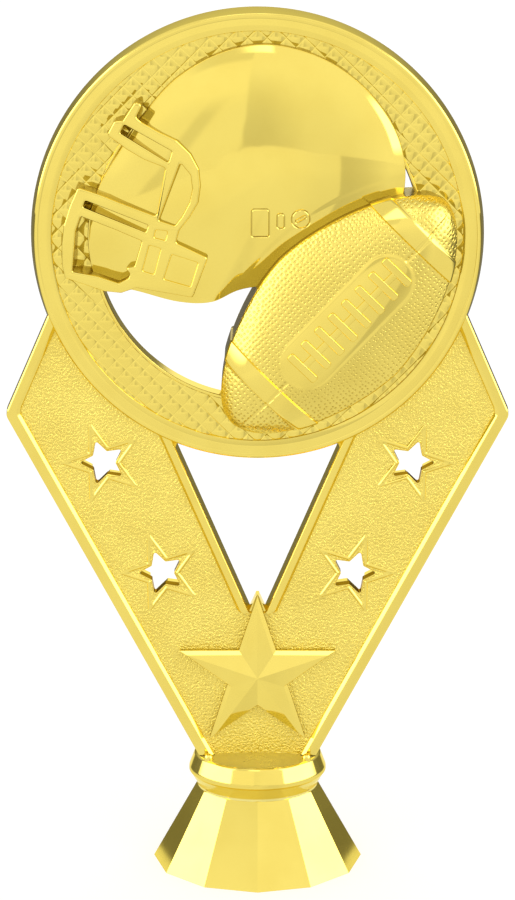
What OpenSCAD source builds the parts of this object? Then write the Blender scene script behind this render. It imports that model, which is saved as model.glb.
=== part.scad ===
// Football trophy figure: a ring with a helmet and a ball, on a V-shaped starred frame and a skirted foot.
// Front is -Y, right is +X, up is +Z. The origin is the middle of the skirt's rim, on the ground.
// Every depth below is measured towards the front from the parting plane of the two mouldings (Y = 0).

/* [Ring] */
// Radius of the ring at the parting plane
ring_r = 39.2; // [36:0.1:42]
// How far the ring's outer wall leans in from the parting plane to its front face
ring_draft = 0.8; // [0.3:0.1:1.2]
// Radius of the ring's open middle
ring_open_r = 28; // [26:0.1:30]
// Height of the ring's centre above the ground
ring_z = 113.2; // [110:0.1:118]
// Width of the smooth border round the ring
ring_border_w = 2.6; // [1.8:0.1:3.6]
// Depth of the ring's border face
ring_face = 4.6; // [4.2:0.1:5.5]
// Depth of the patterned field inside the border
ring_field = 3.7; // [3:0.1:4]

/* [V frame] */
// Half width of the frame at its outer corners
arm_x = 43.9; // [42:0.1:46]
// Height of the outer corners
arm_z = 82.4; // [80:0.1:85]
// Half width of the frame where its upper edges meet the ring
arm_top_x = 35.2; // [34:0.1:36]
// Height of that meeting point
arm_top_z = 102; // [100:0.1:104]
// Half width of the open triangle at its top
gap_top_x = 15.6; // [13:0.1:18]
// Height of the top of the open triangle's sides
gap_top_z = 79.3; // [78:0.1:81]
// Half width of the crotch between the arms
crotch_x = 1.4; // [1:0.1:3]
// Height of the crotch
crotch_z = 46.6; // [44:0.1:48]
// Half width of the frame's foot
foot_x = 11.4; // [10.8:0.1:12]
// Height at which the slanting lower edges end
foot_z = 22.4; // [22:0.1:26]
// Depth of the frame's border face
arm_face = 4.1; // [3.9:0.1:4.5]
// Depth of the grained panels
arm_panel = 3.4; // [3:0.1:3.7]
// Width of the border along the lower outer edges
arm_border_w = 2.3; // [1.6:0.1:3]
// Height of the stem below the frame
stem_h = 3; // [2:0.1:3.4]
// Half width of the stem
stem_x = 6; // [5:0.1:7]
// Thickness of the stem in each of the two mouldings
stem_t = 2.5; // [2:0.1:2.8]

/* [Pierced stars] */
// Tip radius of the raised star outlines
star_ridge_r = 7.3; // [6.6:0.1:8]
// Tip radius of the pierced stars
star_hole_r = 4.3; // [3.5:0.1:4.8]
// Thickness of the raised line
star_ridge_w = 0.5; // [0.4:0.1:0.9]
// Place of the upper stars, sideways
star_up_x = 27; // [26:0.1:28]
// Place of the upper stars, height
star_up_z = 73.7; // [72:0.1:75]
// Place of the lower stars, sideways
star_low_x = 16.9; // [16:0.1:18]
// Place of the lower stars, height
star_low_z = 53.8; // [52:0.1:55]

/* [Star emblem] */
// Tip radius of the large star
emblem_r = 14.5; // [12.5:0.1:15]
// Height of its centre
emblem_z = 35.4; // [35:0.1:36.5]
// Depth of its edge
emblem_edge = 5.2; // [4.8:0.1:6]
// Depth of its peak
emblem_peak = 6.9; // [6.2:0.1:8.5]

/* [Helmet] */
// Height of the helmet's crown above the ring's field
helmet_rise = 6.2; // [5.6:0.1:7]
// Height of the rear crown behind the rear face
helmet_rear_rise = 4.6; // [4:0.1:6]
// Share of the rise that is the steep wall round the helmet
helmet_wall_share = 0.45; // [0.3:0.05:0.6]

/* [Face mask] */
// Height of the mask's flat face above the helmet's crown
mask_proud = 0.2; // [0.1:0.05:0.5]

/* [Ball] */
// Half length of the ball
ball_l = 26.2; // [24.5:0.1:26.8]
// Half width of the ball, and its height above its centre
ball_r = 14; // [13:0.1:14.4]
// How squarely the ball's sections round over: 2 is a plain ellipse
ball_square = 3.2; // [2.6:0.1:4]
// Centre of the ball, sideways
ball_x = 13.8; // [13:0.1:14.6]
// Centre of the ball, height
ball_z = 100.9; // [100:0.1:102]
// Lean of the ball's long axis from the vertical
ball_lean = 44; // [40:1:50]
// Depth of the ball's centre
ball_depth = 2; // [1.5:0.1:2.4]
// How far the lacing lies to the right of the ball's middle line
lace_shift = 1.2; // [0:0.1:2.4]
// Number of cross laces
lace_count = 8; // [6:1:9]
// Distance between the cross laces
lace_pitch = 3.2; // [2.6:0.1:3.3]
// Width of one lace
lace_w = 1.4; // [1:0.1:1.8]
// Length of one lace
lace_l = 6.2; // [5:0.1:7]
// Height of the laces above the ball
lace_h = 0.5; // [0.3:0.1:0.7]

/* [Foot] */
// Radius of the skirt's rim at its corners
skirt_r = 18.8; // [18.3:0.1:20]
// Radius of the skirt's top at its corners
skirt_top_r = 11; // [10.8:0.1:12]
// Height of the skirt
skirt_h = 13.9; // [13.5:0.1:15]
// Number of flat sides on the skirt
skirt_sides = 12; // [10:2:12]
// Height of the collar
collar_h = 6.2; // [5.8:0.1:6.8]
// Radius of the collar at its widest
collar_r = 12.35; // [12:0.05:13]
// Radius of the collar's top edge
collar_top_r = 11.2; // [11:0.1:11.8]
// Radius of the collar's neck
collar_neck_r = 10.8; // [10.5:0.1:11.5]
// Rise of the collar's top from its edge to the frame
collar_crown = 0.7; // [0.4:0.1:1]

/* [Fixing] */
// Radius of the rod's clearance bore
rod_clear_r = 3.4; // [3.3:0.1:3.8]
// Radius of the thread in the nut, at its crests
nut_thread_r = 2.55; // [2.4:0.05:2.6]
// Nut, across its flats
nut_flats = 11.1; // [10.9:0.1:11.3]
// Thickness of the nut
nut_t = 5.6; // [5:0.1:6]
// Height of the nut's lower face above the ground
nut_z = 2.5; // [2:0.1:3.5]
// Radius of the round boss that holds the nut
boss_r = 8.2; // [8:0.1:8.8]

/* [Mouldings] */
// Wall of the hollow mouldings
wall = 1.6; // [1.4:0.1:1.8]
// Depth of the rear face behind the parting plane
rear = 3; // [2.8:0.1:3.6]
// How far the rear mouldings stand back from the edges of the open middle and the open triangle
rear_setback = 1; // [0.5:0.1:1.4]
// Clearance where one piece stands in another
fit = 0.1; // [0.05:0.05:0.15]
// Radius of the dowels that line up front and rear
dowel_r = 1; // [0.8:0.1:1.2]
// Radius of the two domed pins on the collar
pin_r = 0.8; // [0.6:0.1:1]

/* [Hidden] */
$fn = 96;
eps = 0.01;
// Longer than anything in the figure, for cuts that take away a whole side
far = 4 * ring_r;
gold = "#e6d766";
steel = "#b9bcc0";

ring_front_r = ring_r - ring_draft;
rear_open_r = ring_open_r + rear_setback;
mask_face = ring_field + helmet_rise + mask_proud;
foot_seat_z = skirt_h + collar_h + collar_crown;
field_r = ring_front_r - ring_border_w;
// Small bevel at the ring's front edge
edge = 0.3;
// Inner radius as a share of the tip radius: raised stars and emblem, and pierced stars
star_ratio = 0.382;
hole_ratio = 0.52;
// Depth at which the frame's foot stands in the collar's crown
foot_sink = 0.2;
// Spigot on the collar's underside that centres it on the skirt
spigot_r = 5.6;
spigot_h = 1.2;
dowel_end = 1.4;
boss_wall = 1.1;
// Ribs from the nut's boss to the skirt: thickness, and height of their lower edges
rib_w = 1.2;
rib_z = 3;
// Domed pins on the collar's crown: half spacing, depth, length in the collar, and where they come out of it
pin_x = 8.7;
pin_d = 6;
pin_l = 1.2;
pin_seat_z = foot_seat_z - collar_crown * norm([pin_x, pin_d]) / collar_top_r;
// Dowels: [x, z] of those in the frame's arms and those round the ring, one entry a dowel
arm_dowels = [for (s = [-1, 1]) each [[s * (star_up_x + star_ridge_r), star_up_z + 1.2 * star_ridge_r],
    [s * (star_up_x + star_low_x) / 2, (star_up_z + star_low_z) / 2], [s * (foot_x - wall), foot_z + 6 * wall]]];
ring_dowel_r = (ring_open_r + ring_r) / 2;
ring_dowels = [for (a = [20, 90, 160, 270]) [ring_dowel_r * cos(a), ring_z + ring_dowel_r * sin(a)]];
// Arc of the ring that each arm's tongue enters
tongue_from = 212;
tongue_to = 236;
tongue_in = 3.2;
tongue_d = 1.9;

// A slab from depth d0 (nearer the back) to depth d1 (nearer the front) with the given outline
module slab(d0, d1) translate([0, -d0, 0]) rotate([90, 0, 0]) linear_extrude(d1 - d0) children();

// A solid turned about the ring's axis, whose outline is [radius, depth]
module turned(points) translate([0, 0, ring_z]) rotate([90, 0, 0]) rotate_extrude($fn = 180) polygon(points);

module both_sides() for (s = [0, 1]) mirror([s, 0, 0]) children();

function star_points(r, ratio, turn) =
    [for (i = [0:9]) let (a = turn + 36 * i, q = i % 2 == 0 ? r : r * ratio) [q * cos(a), q * sin(a)]];

// A smooth closed curve through a few chosen points, with n steps between two of them
function curve(p, n) = [for (i = [0:len(p) - 1]) for (k = [0:n - 1])
    let (a = p[(i + len(p) - 1) % len(p)], b = p[i], c = p[(i + 1) % len(p)], d = p[(i + 2) % len(p)], t = k / n)
        0.5 * (2 * b + (c - a) * t + (2 * a - 5 * b + 4 * c - d) * t ^ 2 + (3 * b - a - 3 * c + d) * t ^ 3)];

// ---- Ring -------------------------------------------------------------------------------------

// The room the whole ring takes up, front and rear moulding together
module ring_body() turned([[ring_open_r, ring_field], [field_r, ring_field], [field_r, ring_face],
    [ring_front_r, ring_face], [ring_r, 0], [ring_r, -rear], [ring_open_r, -rear]]);

module ring_front() color(gold) difference() {
    turned([[ring_open_r, 0], [ring_open_r, ring_field], [field_r, ring_field], [field_r, ring_face],
        [ring_front_r - edge, ring_face], [ring_front_r, ring_face - edge], [ring_r, 0]]);
    difference() {
        turned([[ring_open_r + wall, -eps], [ring_open_r + wall, ring_field - wall],
            [ring_front_r - wall, ring_field - wall], [ring_r - wall, -eps]]);
        for (p = ring_dowels) slab(-1, ring_field) translate(p) circle(dowel_r + boss_wall);
    }
    for (p = ring_dowels) slab(-1, dowel_end + 0.2) translate(p) circle(dowel_r + fit / 2);
    both_sides() tongue(fit);
}

module ring_rear() color(gold) difference() {
    turned([[rear_open_r, 0], [rear_open_r, -rear], [ring_r - 0.6, -rear], [ring_r, 0]]);
    difference() {
        turned([[rear_open_r + wall, eps], [rear_open_r + wall, -rear + wall - 0.2],
            [ring_r - wall, -rear + wall - 0.2], [ring_r - wall, eps]]);
        for (p = ring_dowels) slab(-rear, 1) translate(p) circle(dowel_r + boss_wall);
    }
    for (p = ring_dowels) slab(-dowel_end - 0.1, 1) translate(p) circle(dowel_r + fit / 2);
}

// The tongue on the left arm that enters the ring's wall, grown by a clearance where it cuts its slot
module tongue(clear = 0) translate([0, 0, ring_z]) rotate([90, 0, 0])
    rotate([0, 0, tongue_from - clear]) rotate_extrude(angle = tongue_to - tongue_from + 2 * clear, $fn = 180)
        polygon([[ring_r - tongue_in - clear, 0], [ring_r + 0.4, 0],
            [ring_r + 0.4, tongue_d + clear], [ring_r - tongue_in - clear, tongue_d + clear]]);

// ---- V frame ----------------------------------------------------------------------------------

// Half of the frame's outline, on the right, from the crotch round to the foot
half_frame = [[crotch_x, crotch_z], [gap_top_x, gap_top_z], [gap_top_x, ring_z], [arm_top_x, arm_top_z],
    [arm_x, arm_z], [foot_x, foot_z], [collar_top_r - 1.6, foot_seat_z - foot_sink]];

// The whole outline, which runs on behind the ring
module frame_v() polygon(concat(half_frame,
    [for (i = [len(half_frame) - 1:-1:0]) [-half_frame[i][0], half_frame[i][1]]]));

module frame_outline() difference() {
    frame_v();
    translate([0, ring_z]) circle(ring_front_r, $fn = 180);
}

module frame_panel() offset(delta = -arm_border_w) frame_v();

module at_stars() {
    for (s = [0, 1]) mirror([s, 0]) {
        translate([star_up_x, star_up_z]) children();
        translate([star_low_x, star_low_z]) children();
    }
}

module pierced_star(grow = 0) polygon(star_points(star_hole_r + grow, hole_ratio, 0));

module star_ridge() difference() {
    polygon(star_points(star_ridge_r, star_ratio, 0));
    polygon(star_points(star_ridge_r - star_ridge_w / sin(18), star_ratio, 0));
}

module emblem_outline(grow = 0) translate([0, emblem_z]) polygon(star_points(emblem_r + grow, star_ratio, 90));

module frame_cavity() difference() {
    offset(delta = -wall) frame_outline();
    at_stars() pierced_star(2 * wall);
    for (p = arm_dowels) translate(p) circle(dowel_r + boss_wall);
    translate([0, ring_z]) circle(ring_r + wall, $fn = 180);
    translate([-stem_x - wall, 0]) square([2 * (stem_x + wall), foot_seat_z + 3 * wall]);
}

module stem() translate([-stem_x, foot_seat_z - stem_h]) square([2 * stem_x, stem_h + wall]);

module v_frame_front() color(gold) difference() {
    union() {
        difference() {
            slab(0, arm_face) frame_outline();
            slab(arm_panel, arm_face + 1) frame_panel();
            slab(arm_panel, arm_face + 1) emblem_outline(fit);
        }
        slab(arm_panel - eps, arm_face) intersection() {
            at_stars() star_ridge();
            frame_panel();
        }
        slab(0, stem_t) stem();
        both_sides() tongue();
    }
    difference() {
        ring_body();
        both_sides() tongue();
    }
    slab(-1, arm_face + 1) at_stars() pierced_star();
    slab(-1, arm_panel - wall) frame_cavity();
    for (p = arm_dowels) slab(-1, dowel_end + 0.2) translate(p) circle(dowel_r + fit / 2);
}

module v_frame_rear() color(gold) difference() {
    union() {
        slab(-rear, 0) frame_outline();
        slab(-stem_t, 0) stem();
    }
    ring_body();
    slab(-rear - 1, 1) offset(delta = rear_setback) crotch_space();
    slab(-rear - 1, 1) at_stars() pierced_star(rear_setback);
    slab(-rear + wall - 0.2, 1) offset(delta = -rear_setback) frame_cavity();
    for (p = arm_dowels) slab(-dowel_end - 0.1, 1) translate(p) circle(dowel_r + fit / 2);
}

// The faceted star: a plate with straight sides, and ten flats that rise to its peak
module star_emblem() {
    rim = star_points(emblem_r, star_ratio, 90);
    color(gold) union() {
        translate([0, 0, emblem_z]) polyhedron(
            points = concat([for (p = rim) [p[0], -arm_panel, p[1]]], [for (p = rim) [p[0], -emblem_edge, p[1]]],
                [[0, -emblem_peak, 0]]),
            faces = concat([[for (i = [0:9]) i]], [for (i = [0:9]) [10 + i, 10 + (i + 1) % 10, (i + 1) % 10, i]],
                [for (i = [0:9]) [20, 10 + (i + 1) % 10, 10 + i]]));
        slab(0, arm_panel + eps) intersection() {
            offset(delta = -edge) emblem_outline();
            crotch_space();
        }
    }
}

// The space between the arms just above the crotch
module crotch_space() polygon([[crotch_x - fit, crotch_z + fit], [gap_top_x - fit, gap_top_z],
    [-gap_top_x + fit, gap_top_z], [-crotch_x + fit, crotch_z + fit]]);

// ---- Helmet -----------------------------------------------------------------------------------

// The helmet's side outline, from the forehead round the crown and the nape to the jaw
helmet_key = [[-28.9, 117], [-26.9, 123], [-23.2, 129], [-19.2, 135], [-13.6, 141], [-5.8, 145.3], [2.4, 146.5],
    [11.4, 144], [18.6, 138.8], [23.6, 131.8], [25.3, 124], [23.1, 117], [14, 109], [5, 106], [-2.9, 104.6],
    [-8, 102.4], [-13.8, 102.5], [-21, 104.4], [-27.2, 105.8], [-29, 110.8]];
helmet_mid = [-1.5, 124.5];
// The crown lies further towards the nape than the middle of the rim
helmet_crown = [4, 126];
helmet_curve = curve(helmet_key, 3);

// One level of the dome: the outline drawn in to a share s of its size, at a depth
function level(s, d) = [for (p = helmet_curve) let (mid = helmet_crown + s * (helmet_mid - helmet_crown),
    q = mid + s * (p - helmet_mid)) [q[0], -d, q[1]]];

// A dome over the helmet's outline, from its rim at depth d0 up a steep wall and over a low crown at depth d1
module dome(d0, d1, inset = 0) {
    n = len(helmet_curve);
    steps = 7;
    full = 1 - inset / norm(helmet_key[6] - helmet_mid);
    brow = d0 + (d1 - d0) * helmet_wall_share;
    rings = concat([level(full, d0)], [for (k = [0:steps]) let (a = 84 * k / steps)
        level(full * 0.965 * cos(a), brow + (d1 - brow) * sin(a) / sin(84))]);
    pts = [for (r = rings) each r];
    base = [for (i = [n - 1:-1:0]) i];
    cap = [for (i = [0:n - 1]) n * (steps + 1) + i];
    sides = [for (k = [0:steps]) for (i = [0:n - 1]) let (j = (i + 1) % n)
        each [[n * k + i, n * k + j, n * (k + 1) + i], [n * k + j, n * (k + 1) + j, n * (k + 1) + i]]];
    faces = concat([base], [cap], sides);
    polyhedron(points = pts, faces = d1 > d0 ? faces : [for (f = faces) [for (i = [len(f) - 1:-1:0]) f[i]]]);
}

module helmet_plug(inset) intersection() {
    offset(delta = -inset) polygon(helmet_curve);
    translate([0, ring_z]) circle(ring_open_r - inset - fit, $fn = 120);
}

module helmet_front_shell() color(gold) difference() {
    union() {
        dome(ring_field, ring_field + helmet_rise);
        slab(0, ring_field + eps) helmet_plug(0);
    }
    dome(ring_field - eps, ring_field + helmet_rise - wall, wall);
    slab(-1, ring_field + 1) helmet_plug(wall);
    ball_solid(fit);
}

module helmet_rear_shell() color(gold) difference() {
    union() {
        dome(-rear, -rear - helmet_rear_rise);
        slab(-rear - eps, 0) helmet_plug(0);
    }
    dome(-rear + eps, -rear - helmet_rear_rise + wall, wall);
    slab(-rear - 1, 1) helmet_plug(wall);
    ball_solid(fit);
}

// ---- Face mask --------------------------------------------------------------------------------

mask_edge = [[-20.5, 137.1], [-19.3, 136.6], [-20.4, 134.5], [-19.5, 133.7], [-16.7, 132.1], [-13.7, 130.7],
    [-11.3, 128.4], [-9.9, 125.8], [-9.6, 122.9], [-10, 120.1], [-11.4, 117.7], [-13.3, 115.3], [-13.8, 113.3],
    [-8.4, 110.7], [-11, 103.9], [-20.6, 105.6], [-23.2, 104.7], [-26, 105], [-30.1, 106.4], [-32.7, 107.3],
    [-33.2, 109.5], [-33.2, 112.9], [-32.8, 116.2], [-31.7, 119.6], [-30.3, 122.7], [-26.6, 121.5],
    [-23.7, 120.3], [-17.1, 117.8], [-15.5, 126], [-19.1, 127.4], [-22, 129.1], [-25.1, 131.4], [-25.1, 131.9],
    [-24, 133.9], [-22.6, 133.9]];
mask_top_slot = [[-22.4, 133.3], [-14.4, 128.8], [-15, 126.9], [-23.1, 131.9]];
mask_cheek = [[-13, 126.9], [-11.3, 124.8], [-11, 122.4], [-11.5, 120.1], [-12.8, 117.7], [-14, 116.2], [-16.7, 117.1]];
mask_mid_slot = [[-29.1, 120.5], [-18.5, 116.3], [-18.9, 115.1], [-29.5, 119.4]];
mask_mouth = [[-29.9, 117.8], [-24, 115.5], [-19.6, 113.6], [-20.9, 109.3], [-22.5, 109], [-21.7, 108.1],
    [-21.9, 107.3], [-23.6, 106.4], [-27.2, 107.6], [-31.4, 108.4], [-31.1, 111.7], [-30.8, 115.3]];
mask_button = [[-17.2, 115.5], [-15.2, 115.3], [-15.6, 113.7], [-17.5, 114.2]];
mask_low_slot = [[-18.3, 112.9], [-16.4, 112.3], [-17.6, 107.9], [-19.5, 108.5]];
mask_window = [[-14.5, 111.3], [-10.1, 109.9], [-11.4, 105.8], [-15.9, 107.1]];

module face_mask() color(gold) difference() {
    slab(ring_field, mask_face) difference() {
        polygon(mask_edge);
        for (hole = [mask_top_slot, mask_cheek, mask_mid_slot, mask_mouth, mask_button, mask_low_slot, mask_window])
            polygon(hole);
    }
    dome(ring_field - eps, ring_field + helmet_rise);
}

// ---- Ball -------------------------------------------------------------------------------------

// Radius of the ball at a place along its axis
function ball_at(u) = ball_r * pow(max(0, 1 - pow(abs(u) / ball_l, 1.6)), 0.57);

// Stands the ball's own frame, long axis up, at its place in the ring
module at_ball() translate([ball_x, -ball_depth, ball_z]) rotate([0, ball_lean, 0]) children();

// Height of the ball above its centre plane at a place along its axis
function ball_high(u) = ball_r * pow(max(0, 1 - pow(abs(u) / ball_l, ball_square)), 1 / ball_square);

function eased(x) = sign(x) * pow(abs(x), 2 / ball_square);

// The ball's body, grown by a length all round, with its ends at a given reach along its axis
module ball_body(grow, reach) {
    steps = 20;
    n = 36;
    rings = [for (i = [1:steps - 1]) let (u = -reach * cos(180 * i / steps))
        [for (j = [0:n - 1]) let (a = 360 * j / n)
            [(ball_at(u) + grow) * eased(cos(a)), (ball_high(u) + grow) * eased(sin(a)), u]]];
    tip = n * (steps - 1) + 1;
    at_ball() polyhedron(points = concat([[0, 0, -reach]], [for (r = rings) each r], [[0, 0, reach]]),
        faces = concat([for (j = [0:n - 1]) [0, 1 + j, 1 + (j + 1) % n]],
            [for (i = [0:steps - 3]) for (j = [0:n - 1]) let (a = 1 + n * i + j, b = 1 + n * i + (j + 1) % n)
                each [[a, a + n, b], [b, a + n, b + n]]],
            [for (j = [0:n - 1]) [tip, tip - n + (j + 1) % n, tip - n + j]]));
}

module ball_solid(grow = 0) ball_body(grow, ball_l + grow);

module ball_hollow() ball_body(-wall, ball_l - 2.4 * wall);

module football_front_shell() color(gold) difference() {
    ball_solid();
    ball_hollow();
    ring_body();
    turned([[ring_open_r - fit, ring_field], [ring_open_r + 1, ring_field], [ring_open_r + 1, -1], [ring_open_r - fit, -1]]);
    slab(-far, 0) square(2 * far, center = true);
}

module football_rear_shell() color(gold) difference() {
    ball_solid();
    ball_hollow();
    ring_body();
    turned([[ring_open_r - fit, 1], [ring_open_r + 1, 1], [ring_open_r + 1, -rear], [ring_open_r - fit, -rear]]);
    slab(0, far) square(2 * far, center = true);
}

// A bar across the ball's top, from axial place u0 to u1
module lace_bar(u0, u1, spread, high) at_ball()
    translate([lace_shift - spread / 2, -ball_r - high, u0]) cube([spread, high + wall, u1 - u0]);

module football_lacing() color(gold) difference() {
    run = (lace_count - 1) * lace_pitch;
    union() {
        lace_bar(-run / 2 - lace_w, run / 2 + lace_w, lace_w * 0.8, lace_h * 0.8);
        for (i = [0:lace_count - 1]) let (u = i * lace_pitch - run / 2)
            lace_bar(u - lace_w / 2, u + lace_w / 2, lace_l, lace_h);
    }
    ball_solid();
}

// ---- Dowels and pins --------------------------------------------------------------------------

module dowels() color(gold) for (p = concat(arm_dowels, ring_dowels))
    slab(-dowel_end, dowel_end) translate(p) circle(dowel_r);

module collar_pins() color(gold) both_sides() translate([pin_x, -pin_d, pin_seat_z]) {
    translate([0, 0, -pin_l]) cylinder(r = pin_r, h = pin_l + 0.3);
    translate([0, 0, 0.3]) sphere(pin_r);
}

// ---- Foot -------------------------------------------------------------------------------------

module collar() color(gold) difference() {
    union() {
        translate([0, 0, skirt_h]) rotate_extrude($fn = 120) polygon([[0, 0], [collar_neck_r, 0],
            [collar_r - 0.5, collar_h / 2 - 0.7], [collar_r, collar_h / 2], [collar_r - 0.3, collar_h / 2 + 0.7],
            [collar_top_r, collar_h - 0.2], [collar_top_r - 0.2, collar_h], [0, collar_h + collar_crown]]);
        translate([0, 0, skirt_h - spigot_h]) cylinder(r = spigot_r, h = spigot_h + 1);
    }
    translate([0, 0, skirt_h - spigot_h - 1]) cylinder(r = rod_clear_r, h = spigot_h + 3.2);
    translate([-stem_x - fit, -stem_t - fit, foot_seat_z - stem_h])
        cube([2 * (stem_x + fit), 2 * (stem_t + fit), stem_h + 1]);
    frame_foot_cut();
    both_sides() translate([pin_x, -pin_d, pin_seat_z - pin_l]) cylinder(r = pin_r, h = 3);
}

// The slot across the collar's crown in which the frame's foot stands
module frame_foot_cut() slab(-rear, arm_face)
    translate([-collar_top_r, foot_seat_z - foot_sink]) square([2 * collar_top_r, 2]);

module skirt_cone(inset, z0, z1) {
    slope = (skirt_r - skirt_top_r) / skirt_h;
    translate([0, 0, z0]) rotate([0, 0, 90]) cylinder(r1 = skirt_r - slope * z0 - inset,
        r2 = skirt_r - slope * z1 - inset, h = z1 - z0, $fn = skirt_sides);
}

module skirt() color(gold) difference() {
    union() {
        difference() {
            skirt_cone(0, 0, skirt_h);
            skirt_cone(wall, -eps, skirt_h - wall);
        }
        translate([0, 0, nut_z - 1]) cylinder(r = boss_r, h = skirt_h - nut_z);
        intersection() {
            for (a = [0:90:270]) rotate([0, 0, a]) translate([boss_r - wall / 2, -rib_w / 2, rib_z])
                cube([skirt_r, rib_w, skirt_h - rib_z - wall / 2]);
            skirt_cone(wall / 2, 0, skirt_h);
        }
    }
    translate([0, 0, -1]) cylinder(r = (nut_flats / 2 + fit) / cos(30), h = nut_z + nut_t + 1, $fn = 6);
    translate([0, 0, nut_z + nut_t - 1]) cylinder(r = rod_clear_r, h = skirt_h);
    translate([0, 0, skirt_h - spigot_h - fit]) cylinder(r = spigot_r + fit, h = 5);
}

module hex_nut() color(steel) translate([0, 0, nut_z]) difference() {
    cylinder(r = nut_flats / 2 / cos(30), h = nut_t, $fn = 6);
    translate([0, 0, -1]) cylinder(r = nut_thread_r, h = nut_t + 2);
}

ring_front();
ring_rear();
v_frame_front();
v_frame_rear();
star_emblem();
helmet_front_shell();
helmet_rear_shell();
face_mask();
football_front_shell();
football_rear_shell();
football_lacing();
dowels();
collar_pins();
collar();
skirt();
hex_nut();
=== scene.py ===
# Football trophy figure: finished meshes, materials, floor, light and camera.
# Sizes are in millimetres unless a name says otherwise. Front is -Y, right is +X and up is +Z, and a depth
# is measured towards the front from the parting plane of the front and rear mouldings (Y = 0).
import math
from collections import namedtuple

import bmesh
import bpy
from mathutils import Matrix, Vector
from mathutils.geometry import tessellate_polygon


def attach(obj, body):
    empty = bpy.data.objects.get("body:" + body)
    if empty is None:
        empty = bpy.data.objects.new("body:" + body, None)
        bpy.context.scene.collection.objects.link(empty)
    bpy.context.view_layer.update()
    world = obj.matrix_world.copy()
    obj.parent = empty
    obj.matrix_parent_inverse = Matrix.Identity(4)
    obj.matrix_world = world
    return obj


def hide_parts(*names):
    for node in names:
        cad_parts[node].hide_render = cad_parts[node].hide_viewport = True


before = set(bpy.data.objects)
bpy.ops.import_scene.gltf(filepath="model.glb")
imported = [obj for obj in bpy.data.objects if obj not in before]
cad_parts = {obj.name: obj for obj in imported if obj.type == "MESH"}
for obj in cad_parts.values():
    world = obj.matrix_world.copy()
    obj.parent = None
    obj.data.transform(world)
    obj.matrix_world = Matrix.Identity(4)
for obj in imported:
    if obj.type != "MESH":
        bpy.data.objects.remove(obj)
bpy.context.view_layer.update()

MM = 0.001

# ---- Driving sizes, as in the part's own source or within a few tenths of them -----------------------

RING_Z = 113.2
RING_R = 39.2
RING_FRONT_R = 38.4
RING_OPEN_R = 28.0
RING_FACE = 4.6
RING_FIELD = 3.7
ARM_FACE = 4.1
ARM_PANEL = 3.4
REAR = 3.0
EMBLEM_R, EMBLEM_Z, EMBLEM_EDGE, EMBLEM_PEAK = 14.5, 35.4, 5.2, 7.0
STAR_RATIO = 0.385
HELMET_RISE, HELMET_REAR_RISE = 6.2, 4.6
BALL_X, BALL_Z, BALL_DEPTH, BALL_R, BALL_L = 13.8, 100.9, 2.0, 14.0, 26.5
BALL_LEAN = math.radians(44)
SKIRT_H = 13.9
COLLAR_H, COLLAR_R, COLLAR_TOP_R, COLLAR_NECK_R = 6.2, 12.35, 11.2, 10.8


# ---- Node graphs ----------------------------------------------------------------------------------

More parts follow.
